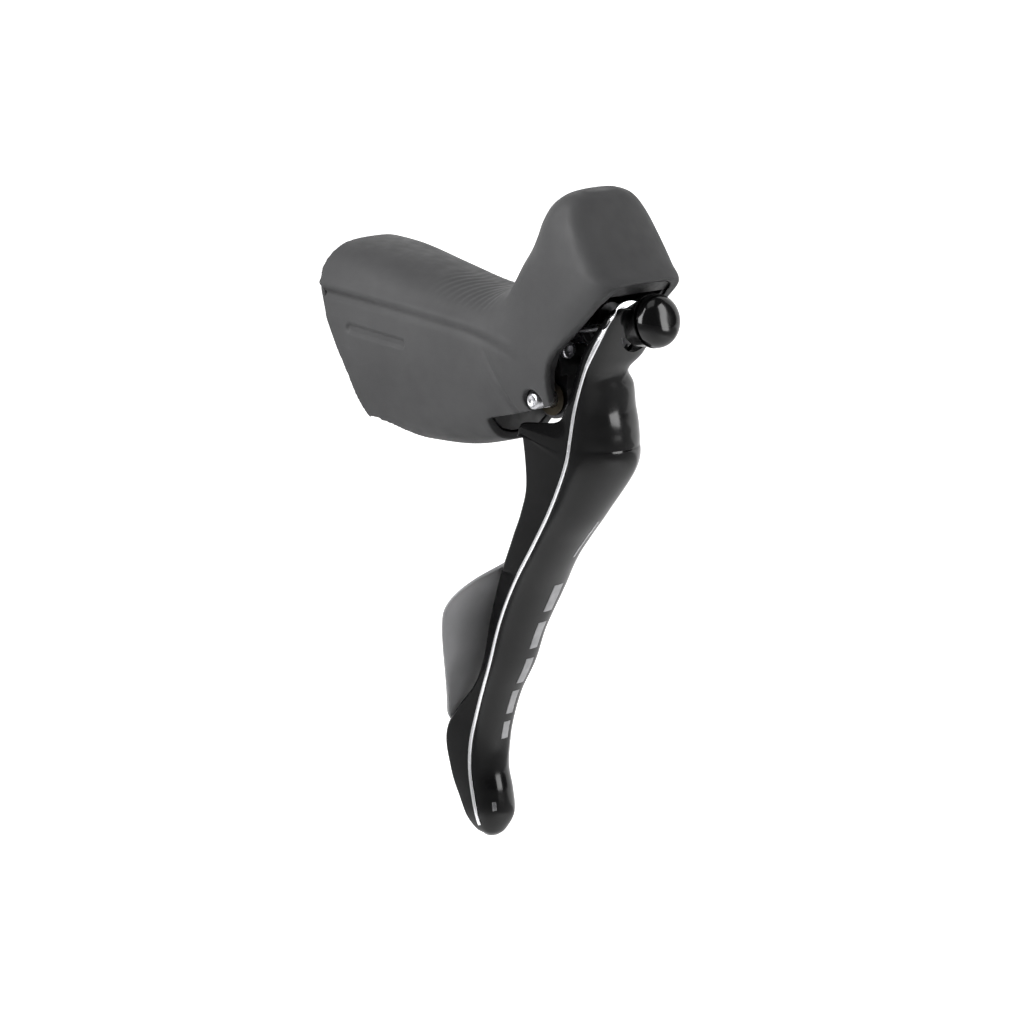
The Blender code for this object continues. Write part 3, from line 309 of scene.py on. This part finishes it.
class Finish:
    """A procedural material, built up one effect at a time."""

    def __init__(self, name, colour, roughness, metallic=0.0, **sockets):
        self.material = bpy.data.materials.new(name)
        self.material.use_nodes = True
        self.tree = self.material.node_tree
        self.shader = self.tree.nodes["Principled BSDF"]
        self.place = self.tree.nodes.new("ShaderNodeTexCoord").outputs["Object"]
        self.normal = None
        self.shader.inputs["Base Color"].default_value = (*colour, 1.0)
        self.shader.inputs["Roughness"].default_value = roughness
        self.shader.inputs["Metallic"].default_value = metallic
        for socket, value in sockets.items():
            self.shader.inputs[socket.replace("_", " ")].default_value = value

    def noise(self, scale, detail=3.0, stretch=(1.0, 1.0, 1.0)):
        mapping = self.tree.nodes.new("ShaderNodeMapping")
        mapping.inputs["Scale"].default_value = stretch
        self.tree.links.new(self.place, mapping.inputs["Vector"])
        noise = self.tree.nodes.new("ShaderNodeTexNoise")
        noise.inputs["Scale"].default_value = scale
        noise.inputs["Detail"].default_value = detail
        self.tree.links.new(mapping.outputs["Vector"], noise.inputs["Vector"])
        return noise.outputs["Fac"]

    def span(self, value, low, high):
        """The value, whose middle part is spread from low to high."""
        spread = self.tree.nodes.new("ShaderNodeMapRange")
        spread.inputs["From Min"].default_value = 0.3
        spread.inputs["From Max"].default_value = 0.7
        spread.inputs["To Min"].default_value = low
        spread.inputs["To Max"].default_value = high
        self.tree.links.new(value, spread.inputs["Value"])
        return spread.outputs["Result"]

    def mottle(self, first, second, scale):
        """Base colour that drifts between two tones."""
        mix = self.tree.nodes.new("ShaderNodeMix")
        mix.data_type = "RGBA"
        mix.inputs["A"].default_value = (*first, 1.0)
        mix.inputs["B"].default_value = (*second, 1.0)
        self.tree.links.new(self.span(self.noise(scale), 0.0, 1.0), mix.inputs["Factor"])
        self.tree.links.new(mix.outputs["Result"], self.shader.inputs["Base Color"])
        return self

    def rough(self, low, high, scale, stretch=(1.0, 1.0, 1.0)):
        """Roughness that drifts between two values."""
        value = self.span(self.noise(scale, stretch=stretch), low, high)
        self.tree.links.new(value, self.shader.inputs["Roughness"])
        return self

    def grain(self, scale, strength, distance, stretch=(1.0, 1.0, 1.0)):
        """Fine bumps, on top of any that are there already."""
        bump = self.tree.nodes.new("ShaderNodeBump")
        bump.inputs["Strength"].default_value = strength
        bump.inputs["Distance"].default_value = distance * MM
        self.tree.links.new(self.noise(scale, GRAIN_DETAIL, stretch), bump.inputs["Height"])
        if self.normal:
            self.tree.links.new(self.normal, bump.inputs["Normal"])
        self.normal = bump.outputs["Normal"]
        self.tree.links.new(self.normal, self.shader.inputs["Normal"])
        return self


def rubber_finish():
    finish = Finish("hood_rubber_fine", (0.04, 0.04, 0.042), 0.55, Specular_IOR_Level=0.2)
    finish.mottle((0.036, 0.036, 0.037), (0.046, 0.046, 0.047), 55.0)
    finish.rough(0.5, 0.64, 240.0)
    return finish.grain(2600.0, 0.35, 0.06).grain(420.0, 0.15, 0.08).material


def composite_finish():
    finish = Finish("bracket_composite_fine", (0.02, 0.02, 0.021), 0.5)
    finish.mottle((0.016, 0.016, 0.017), (0.027, 0.027, 0.028), 300.0)
    finish.rough(0.42, 0.6, 500.0)
    return finish.grain(1800.0, 0.3, 0.05).material


def lacquer_finish():
    coat = {"Coat_Weight": 0.15, "Coat_Roughness": 0.08}
    finish = Finish("blade_lacquer", (0.002, 0.002, 0.002), 0.16, Specular_IOR_Level=0.25, **coat)
    finish.mottle((0.0016, 0.0016, 0.0018), (0.0026, 0.0026, 0.0028), 30.0)
    finish.rough(0.1, 0.18, 90.0)
    return finish.grain(120.0, 0.05, 0.05).material


def chrome_finish():
    finish = Finish("bright_trim_fine", (0.82, 0.82, 0.84), 0.2, 1.0)
    finish.mottle((0.78, 0.78, 0.8), (0.86, 0.86, 0.88), 200.0)
    finish.rough(0.16, 0.28, 600.0)
    return finish.grain(900.0, 0.08, 0.03).material


def print_finish():
    finish = Finish("print_fine", (0.42, 0.42, 0.43), 0.4)
    finish.mottle((0.36, 0.36, 0.37), (0.48, 0.48, 0.49), 300.0)
    return finish.rough(0.35, 0.5, 500.0).grain(1500.0, 0.1, 0.02).material


def paddle_finish():
    finish = Finish("paddle_plastic_fine", (0.15, 0.15, 0.155), 0.42, Specular_IOR_Level=0.45)
    finish.mottle((0.17, 0.17, 0.175), (0.2, 0.2, 0.205), 80.0)
    finish.rough(0.36, 0.5, 400.0)
    return finish.grain(2400.0, 0.25, 0.04).material


def metal_finish(name, dark, light, low, high, stretch=(1.0, 1.0, 1.0)):
    finish = Finish(name, light, high, 1.0)
    finish.mottle(dark, light, 260.0)
    finish.rough(low, high, 700.0, stretch=stretch)
    return finish.grain(1200.0, 0.12, 0.03, stretch=stretch).material


def seal_finish():
    finish = Finish("seal_rubber_fine", (0.016, 0.016, 0.017), 0.55)
    finish.mottle((0.012, 0.012, 0.013), (0.022, 0.022, 0.023), 400.0)
    return finish.rough(0.48, 0.66, 900.0).grain(2200.0, 0.25, 0.04).material


RUBBER = rubber_finish()
COMPOSITE = composite_finish()
LACQUER = lacquer_finish()
CHROME = chrome_finish()
PRINT = print_finish()
PADDLE = paddle_finish()
STEEL = metal_finish("steel_fine", (0.46, 0.46, 0.48), (0.6, 0.6, 0.62), 0.24, 0.38, (1.0, 1.0, 6.0))
SPRING = metal_finish("spring_steel_fine", (0.34, 0.34, 0.36), (0.46, 0.46, 0.48), 0.25, 0.4)
ALLOY = metal_finish("alloy_fine", (0.05, 0.05, 0.052), (0.08, 0.08, 0.083), 0.4, 0.55)
BRASS = metal_finish("brass_fine", (0.035, 0.03, 0.022), (0.05, 0.042, 0.03), 0.45, 0.6)
SEAL = seal_finish()
SLOT_FINISH = {
    "hood_rubber": RUBBER,
    "bracket_composite": COMPOSITE,
    "blade_gloss": LACQUER,
    "bright_trim": CHROME,
    "paddle_plastic": PADDLE,
    "steel": STEEL,
    "spring_steel": SPRING,
    "alloy": ALLOY,
    "brass": BRASS,
    "seal_rubber": SEAL,
}


def dress_cad_nodes():
    """Every CAD node takes the fine material of its slot in the record."""
    for part in frame["record"]["subparts"]:
        mesh = NODES[part["node"]].data
        mesh.materials.clear()
        mesh.materials.append(SLOT_FINISH[part["material_slot"]])


# ---------------------------------------------------------------- mesh helpers

def smooth_rows(rows, count):
    """Rows read evenly along a smooth curve that passes through the given rows."""
    rows = np.asarray(rows, float)
    padded = np.vstack((2 * rows[0] - rows[1], rows, 2 * rows[-1] - rows[-2]))
    place = np.linspace(0, len(rows) - 1, count)
    i = np.minimum(place.astype(int), len(rows) - 2)
    t = (place - i)[:, None]
    p0, p1, p2, p3 = (padded[i + k] for k in range(4))
    return 0.5 * (
        2 * p1
        + (p2 - p0) * t
        + (2 * p0 - 5 * p1 + 4 * p2 - p3) * t**2
        + (3 * p1 - p0 - 3 * p2 + p3) * t**3
    )


def signed_power(value, power):
    return np.sign(value) * np.abs(value) ** power


def new_object(name, mesh):
    obj = bpy.data.objects.new(name, mesh)
    bpy.context.scene.collection.objects.link(obj)
    return obj


def from_bmesh(name, shape):
    bmesh.ops.recalc_face_normals(shape, faces=shape.faces)
    mesh = bpy.data.meshes.new(name)
    shape.to_mesh(mesh)
    shape.free()
    mesh.shade_smooth()
    return new_object(name, mesh)


def loft(name, rings):
    """A skin over rings of the same number of points, closed by flat ends."""
    shape = bmesh.new()
    rows = [[shape.verts.new(Vector(point) * MM) for point in row] for row in rings]
    length = len(rows[0])
    for upper, lower in zip(rows, rows[1:]):
        for i in range(length):
            j = (i + 1) % length
            shape.faces.new((upper[i], upper[j], lower[j], lower[i]))
    shape.faces.new(rows[0])
    shape.faces.new(rows[-1])
    return from_bmesh(name, shape)


def lathe(name, profile, base, axis, segments):
    """A closed profile of (radius, height) turned about an axis."""
    turn = Vector(axis).to_track_quat("Z", "Y")
    rings = []
    for i in range(segments):
        angle = 2 * pi * i / segments
        ring = [Vector((r * cos(angle), r * sin(angle), h)) for r, h in profile]
        rings.append([Vector(base) + turn @ point for point in ring])
    shape = bmesh.new()
    rows = [[shape.verts.new(point * MM) for point in ring] for ring in rings]
    for i in range(segments):
        row, following = rows[i], rows[(i + 1) % segments]
        for k in range(len(profile) - 1):
            shape.faces.new((row[k], row[k + 1], following[k + 1], following[k]))
    bmesh.ops.remove_doubles(shape, verts=shape.verts, dist=0.000002)
    return from_bmesh(name, shape)


def rod(name, start, end, radius, sides=48):
    start, end = Vector(start), Vector(end)
    shape = bmesh.new()
    bmesh.ops.create_cone(
        shape,
        cap_ends=True,
        segments=sides,
        radius1=radius * MM,
        radius2=radius * MM,
        depth=(end - start).length * MM,
    )
    turn = (end - start).to_track_quat("Z", "Y").to_matrix().to_4x4()
    place = Matrix.Translation((start + end) / 2 * MM) @ turn
    bmesh.ops.transform(shape, matrix=place, verts=shape.verts)
    return from_bmesh(name, shape)


def prism(name, outline, low_y, high_y):
    """A side-view outline of (x, z) points between two y planes."""
    rings = [[(x, y, z) for x, z in outline] for y in (low_y, high_y)]
    return loft(name, rings)


def settle(obj):
    """The object's modifiers applied to its mesh."""
    bpy.context.view_layer.update()
    graph = bpy.context.evaluated_depsgraph_get()
    mesh = bpy.data.meshes.new_from_object(obj.evaluated_get(graph))
    obj.modifiers.clear()
    obj.data = mesh
    return obj


def carve(obj, *steps, solver="MANIFOLD"):
    """Boolean steps, each an operation and the other object, which is then removed."""
    for operation, other in steps:
        modifier = obj.modifiers.new(other.name, "BOOLEAN")
        modifier.operation = operation
        modifier.solver = solver
        modifier.object = other
    settle(obj)
    for _, other in steps:
        bpy.data.objects.remove(other)
    return obj


def remesh(obj, voxel, passes):
    """An even, softly rounded skin over a solid."""
    modifier = obj.modifiers.new("Voxels", "REMESH")
    modifier.mode = "VOXEL"
    modifier.voxel_size = voxel * MM
    soften = obj.modifiers.new("Soften", "SMOOTH")
    soften.factor = 0.5
    soften.iterations = passes
    settle(obj)
    obj.data.shade_smooth()
    return obj


def vertices(obj):
    places = np.empty(len(obj.data.vertices) * 3)
    obj.data.vertices.foreach_get("co", places)
    return places.reshape(-1, 3) / MM


def normals(obj):
    found = np.empty(len(obj.data.vertices) * 3, np.float32)
    obj.data.vertex_normals.foreach_get("vector", found)
    return found.reshape(-1, 3).astype(float)


def move_vertices(obj, places):
    obj.data.vertices.foreach_set("co", (places * MM).ravel())
    obj.data.update()


def finish_piece(obj, surface, slot, body, *replaced):
    obj.data.materials.clear()
    obj.data.materials.append(surface)
    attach(obj, body)
    if replaced:
        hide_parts(*replaced)
    return obj


def ramp(value, low, high):
    """0 below low, 1 above high, smooth between."""
    t = np.clip((value - low) / (high - low), 0, 1)
    return t * t * (3 - 2 * t)


def bell(value, width):
    return np.exp(-((value / width) ** 2) / 2)


# ---------------------------------------------------------------- hood

def hood_ring(row, inset):
    top_x, top_z, low_x, low_z, half_width, share, round_top, round_low, bulge = row
    top = np.array((top_x, 0.0, top_z))
    low = np.array((low_x, 0.0, low_z))
    height = np.linalg.norm(top - low)
    up = (top - low) / height
    angles = 2 * pi * (np.arange(HOOD_POINTS) + 0.5) / HOOD_POINTS
    above = np.sin(angles) >= 0
    reach = np.where(above, share * height, (1 - share) * height)
    reach = np.maximum(reach - inset, 0.4 * reach)
    power = 2 / np.where(above, round_top, round_low)
    side = signed_power(np.cos(angles), power)
    rise = reach * signed_power(np.sin(angles), power)
    rise = np.where(above, rise, rise * (1 - bulge * np.abs(side) ** 1.5))
    middle = top - up * share * height
    ring = middle + up * rise[:, None]
    ring[:, 1] += side * (half_width - inset)
    return ring


def hood_rings(inset):
    drops = np.zeros(len(HOOD_SECTIONS))
    for i, share in HORN_TOP_DROP:
        drops[i] = inset * share
    rows = smooth_rows(np.column_stack((HOOD_SECTIONS, drops)), HOOD_RINGS)
    return [hood_ring(row[:-1], inset) - np.array((0, 0, row[-1])) for row in rows]


def line_distance(points, line):
    """Signed distance from points to a polyline, above it positive, and the place along it."""
    best = np.full(len(points), 1e9)
    signed = np.zeros(len(points))
    along = np.zeros(len(points))
    travelled = 0.0
    for start, end in zip(line, line[1:]):
        run = end - start
        length = np.linalg.norm(run)
        t = np.clip(((points - start) @ run) / length**2, 0, 1)
        offset = points - (start + t[:, None] * run)
        distance = np.linalg.norm(offset, axis=1)
        side = np.sign(run[0] * offset[:, 1] - run[1] * offset[:, 0])
        nearer = distance < best
        best = np.where(nearer, distance, best)
        signed = np.where(nearer, side * distance, signed)
        along = np.where(nearer, travelled + t * length, along)
        travelled += length
    return signed, along


def hood_relief(places, facing):
    """How far the hood's skin stands out or in: crease, lobe line, side mark and ribs."""
    flat = places[:, (0, 2)]
    on_side = ramp(np.abs(facing[:, 1]), 0.35, 0.75) * (np.abs(places[:, 1]) > 12.5)
    crease = smooth_rows(CREASE, 60)
    height, along = line_distance(flat, crease)
    fade = 1 - ramp(along, 62, 84)
    rear = 1 - ramp(along, 10, 45)
    ridge = CREASE_DEPTH * bell(height - 1.1, 1.1)
    groove = (CREASE_DEPTH + 0.5 * rear) * bell(height + 0.9, 0.9)
    out = on_side * fade * (ridge - groove)
    out -= on_side * fade * rear * CREASE_DEPTH * bell(height + 3.0, 2.2)
    height, along = line_distance(flat, smooth_rows(LOBE, 40))
    out -= on_side * LOBE_DEPTH * bell(height, 0.38) * ramp(along, 1, 5)
    out += on_side * 0.25 * bell(height + 1.4, 1.2) * ramp(along, 1, 5)
    distance, _ = line_distance(flat, np.array((MARK_START, MARK_END)))
    near_side = on_side * (places[:, 1] < 0)
    inside = 1 - ramp(np.abs(distance), MARK_HALF_HEIGHT - 0.3, MARK_HALF_HEIGHT + 0.3)
    out -= near_side * MARK_DEPTH * inside
    on_top = ramp(facing[:, 2], 0.45, 0.8)
    zone = ramp(places[:, 0], 27, 32) * (1 - ramp(places[:, 0], 50, 54)) * (places[:, 2] > 8)
    wave = 0.5 - 0.5 * np.cos(2 * pi * (places[:, 0] + 0.35 * np.abs(places[:, 1])) / RIB_PITCH)
    return out - on_top * zone * RIB_DEPTH * wave


def make_hood():
    hood = loft("hood_skin", hood_rings(0.0))
    inner = hood_rings(HOOD_THICKNESS)
    rearward = inner[0] - np.array(BAR_FORWARD) * 8
    front = [tuple(point) for point in smooth_rows(RIM_LINE, 46)] + [(130.0, -20.0), (130.0, 27.2)]
    side = Vector((0, 20, 0))
    bar_hole = BAR_RADIUS + BAR_CLEARANCE
    rear = REAR_LINE + ((-60.0, -28.0), (-60.0, 32.0))
    carve(
        hood,
        ("DIFFERENCE", loft("inside", [rearward] + inner)),
        ("DIFFERENCE", prism("front", front, -30, 30)),
        ("DIFFERENCE", rod("bar", BAR_UP * -45, BAR_UP * 12, bar_hole, 96)),
        ("DIFFERENCE", rod("bar_bend", BAR_UP * 8, BAR_UP * 8 + BAR_BEND * 60, bar_hole, 96)),
        ("DIFFERENCE", prism("rear", rear, -30, 30)),
        ("DIFFERENCE", prism("notch", NOTCH, NOTCH_NEAR_Y, NOTCH_FAR_Y)),
        ("DIFFERENCE", rod("pin", PIVOT - side, PIVOT + side, PIN_RADIUS + 0.9)),
    )
    remesh(hood, HOOD_VOXEL, HOOD_SMOOTHING)
    places = vertices(hood)
    facing = normals(hood)
    relief = hood_relief(places, facing)
    is_outer = (facing[:, 1] * places[:, 1] > 0) | (facing[:, 2] > 0.4)
    move_vertices(hood, places + facing * (relief * is_outer)[:, None])
    return finish_piece(hood, RUBBER, "hood_rubber", "fixed", "hood")


# ---------------------------------------------------------------- blade

def blade_frames(rows):
    """The direction square to the trim line, forward, at each cross-section."""
    line = rows[:, :2]
    down = np.gradient(line, axis=0)
    down /= np.linalg.norm(down, axis=1)[:, None]
    return np.column_stack((-down[:, 1], np.zeros(len(rows)), down[:, 0]))


def crown(row, share):
    """Height of the blade's front at a share of its width."""
    a = np.arccos(1 - 2 * np.clip(share, 0, 1))
    return row[4] * np.sin(a) ** CROWN_POWER


def blade_outline(row):
    """(y, forward) points: crowned front, far flank, hollow back, near flank."""
    _, _, near, width, height, near_depth, far_depth, hollow = row
    wall = min(BLADE_WALL, width * 0.3)
    turn = np.linspace(0, pi, 49)
    crest = height * np.sin(turn) ** CROWN_POWER
    front = np.column_stack((near + width / 2 * (1 - np.cos(turn)), crest))
    edge = np.linspace(0, pi, 9)
    far_edge = np.column_stack((
        near + width - wall / 2 + wall / 2 * np.cos(edge),
        -far_depth + wall / 2 - wall / 2 * np.sin(edge),
    ))
    share = (1 - np.cos(turn[46:2:-2])) / 2
    y = near + wall + (width - 2 * wall) * share
    back = -near_depth * (1 - share) - far_depth * share
    floor = crest[46:2:-2] - BLADE_SKIN
    inside = np.column_stack((y, back * (1 - hollow) + floor * hollow))
    near_edge = np.column_stack((
        near + wall / 2 + wall / 2 * np.cos(edge),
        -near_depth + wall / 2 - wall / 2 * np.sin(edge),
    ))
    return np.vstack((front, far_edge, inside, near_edge))


BLADE_ROWS = smooth_rows(BLADE_SECTIONS, BLADE_RINGS)
BLADE_FORWARD = blade_frames(BLADE_ROWS)


def blade_point(i, y, n):
    row = BLADE_ROWS[i]
    return np.array((row[0], 0.0, row[1])) + BLADE_FORWARD[i] * n + np.array((0.0, y, 0.0))


def along_shift(distance, y=0.0, up=0.0):
    return SHIFT_CENTRE + SHIFT_AXIS * distance + Vector((0, y, 0)) + SHIFT_UP * up


def make_blade():
    rings = []
    for i, row in enumerate(BLADE_ROWS):
        outline = blade_outline(row)
        ring = np.array((row[0], 0.0, row[1])) + BLADE_FORWARD[i] * outline[:, 1:2]
        ring[:, 1] += outline[:, 0]
        rings.append(ring)
    blade = loft("blade_shell", rings)
    pocket = ((-10.2, -2.4), (0, -5), (0, 5), (-10.2, 4.6))
    ends = [[along_shift(far, y, up) for y, up in pocket] for far in (-24, -4.7)]
    carve(
        blade,
        ("DIFFERENCE", rod("pocket", along_shift(-20), along_shift(-4.7), BLADE_POCKET_RADIUS, 96)),
        ("UNION", rod("hub", along_shift(-4.6), along_shift(-0.1), 6.4, 96)),
        ("DIFFERENCE", rod("hub_hole", along_shift(-12), along_shift(6), AXLE_HOLE_RADIUS, 48)),
        ("DIFFERENCE", loft("arm_pocket", ends)),
        solver="EXACT",
    )
    blade.data.shade_smooth()
    blade.data.set_sharp_from_angle(angle=SHARP_ANGLE)
    return finish_piece(blade, LACQUER, "blade_gloss", "blade", "brake_blade")


def ribbon(name, path, across, widths, thickness):
    """A rounded flat band along a path. across gives the direction of its width at each point."""
    rings = []
    path = np.asarray(path, float)
    ahead = np.gradient(path, axis=0)
    for point, run, wide, width in zip(path, ahead, across, widths):
        run = run / np.linalg.norm(run)
        wide = wide - run * (wide @ run)
        wide = wide / np.linalg.norm(wide)
        thick = np.cross(run, wide)
        turn = 2 * pi * np.arange(16) / 16
        w = signed_power(np.cos(turn), 0.6) * width / 2
        t = signed_power(np.sin(turn), 0.6) * thickness / 2
        rings.append(point + wide * w[:, None] + thick * t[:, None])
    return loft(name, rings)


def smoothed(points, reach):
    """The points with their kinks averaged away. The two ends draw in slightly."""
    padded = np.vstack([points[:1]] * reach + [points] + [points[-1:]] * reach)
    window = 2 * reach + 1
    return np.array([padded[i:i + window].mean(axis=0) for i in range(len(points))])


def make_trim():
    """The bright band along the near edge, and its arch over the blade's head."""
    arch = smooth_rows(((94.9, 2.6, 15.8), (93.6, 1.2, 18.0), (92.6, -1.6, 19.4), (92.3, -4.6, 19.0),
                        (91.6, -7.4, 17.4), (90.2, -9.2, 14.2)), 36)
    path = list(arch)
    turn = ramp(np.arange(len(arch)), 18, 36)
    across = [np.array((-0.3, 0.0, 1.0)) * (1 - t) + BLADE_FORWARD[TRIM_FIRST] * t for t in turn]
    for i in range(TRIM_FIRST, BLADE_RINGS - TRIM_LEFT_OFF):
        near = BLADE_ROWS[i][2]
        path.append(blade_point(i, near - 0.25, 0.55))
        across.append(BLADE_FORWARD[i] + np.array((0, 0.25, 0)))
    path = smoothed(np.array(path), 5)
    widths = np.interp(np.arange(len(path)), (0, 22, 44), (2.2, 2.2, 0.95))
    trim = ribbon("trim_band", path, across, widths, 0.7)
    return finish_piece(trim, CHROME, "bright_trim", "blade", "blade_trim")


def surface_patch(name, first, last, low, high, lift):
    """A thin plate on the blade's front, between two cross-sections and two shares of the width."""
    shares = np.linspace(low, high, 10)
    rings = []
    for i in np.linspace(first, last, 24):
        k = int(round(i))
        row = BLADE_ROWS[k]
        top = [blade_point(k, row[2] + row[3] * s, crown(row, s) + lift) for s in shares]
        base = [blade_point(k, row[2] + row[3] * s, crown(row, s) - 0.3) for s in shares[::-1]]
        rings.append(top + base)
    return loft(name, rings)


def make_marks():
    """Plain bars on the blade's front in place of lettering, and the small inlay near the tip."""
    bars = (
        (106, 122, 0.62, 0.66),
        (132, 140, 0.50, 0.70),
        (143, 151, 0.50, 0.70),
        (154, 162, 0.50, 0.70),
        (165, 173, 0.50, 0.70),
        (176, 184, 0.50, 0.70),
    )
    for number, (first, last, low, high) in enumerate(bars):
        bar = surface_patch(f"bar_{number}", first, last, low, high, 0.06)
        finish_piece(bar, PRINT, "bright_trim", "blade")
    inlay = surface_patch("tip_inlay", 212, 216, 0.2, 0.28, 0.08)
    finish_piece(inlay, CHROME, "bright_trim", "blade")


# ---------------------------------------------------------------- nose, pin, paddle

def make_nose():
    dome = [(NOSE_RADIUS * cos(a) ** 0.7, 1.6 + 4.8 * sin(a)) for a in np.linspace(0, pi / 2, 32)[:-1]]
    dome.append((0.0, 6.4))
    profile = dome + [(0.0, 1.6), (AXLE_RADIUS + 0.2, 1.6), (AXLE_RADIUS + 0.2, 0.0)]
    profile += [(NOSE_RADIUS - 0.4, 0.0), (NOSE_RADIUS, 0.3), (NOSE_RADIUS, 0.6)]
    nose = lathe("nose_dome", profile, along_shift(0.3), SHIFT_AXIS, 96)
    return finish_piece(nose, LACQUER, "blade_gloss", "lever", "nose_cap")


def make_pin():
    length = 2 * PIN_HALF_LENGTH
    recess = ((0.0, 0.5), (1.1, 0.5), (1.2, 0.0), (PIN_RADIUS - 0.5, 0.0), (PIN_RADIUS, 0.5))
    far = [(radius, length - height) for radius, height in reversed(recess)]
    near_end = PIVOT - Vector((0, PIN_HALF_LENGTH, 0))
    pin = lathe("pivot_pin_turned", list(recess) + far, near_end, (0, 1, 0), 64)
    return finish_piece(pin, STEEL, "steel", "fixed", "pivot_pin")


def paddle_ring(row, forward):
    x, z, near, far, thickness = row
    turn = 2 * pi * np.arange(64) / 64
    middle = np.array((x, (near + far) / 2, z))
    n = thickness / 2 * signed_power(np.sin(turn), 0.7)
    ring = middle + forward * n[:, None]
    ring[:, 1] += (far - near) / 2 * signed_power(np.cos(turn), 0.7)
    return ring


def make_paddle():
    rows = smooth_rows(PADDLE_SECTIONS, 150)
    directions = blade_frames(rows)
    paddle = loft("paddle_shell", [paddle_ring(row, d) for row, d in zip(rows, directions)])
    carve(
        paddle,
        ("UNION", rod("paddle_hub", along_shift(-9.3), along_shift(-6.6), 5.4, 96)),
        ("DIFFERENCE", rod("paddle_hole", along_shift(-12), along_shift(0), AXLE_HOLE_RADIUS, 48)),
        solver="EXACT",
    )
    paddle.data.shade_smooth()
    paddle.data.set_sharp_from_angle(angle=SHARP_ANGLE)
    return finish_piece(paddle, PADDLE, "paddle_plastic", "release", "release_paddle")


make_camera()
make_stage()
make_lights()
dress_cad_nodes()
make_hood()
make_blade()
make_trim()
make_marks()
make_nose()
make_pin()
make_paddle()
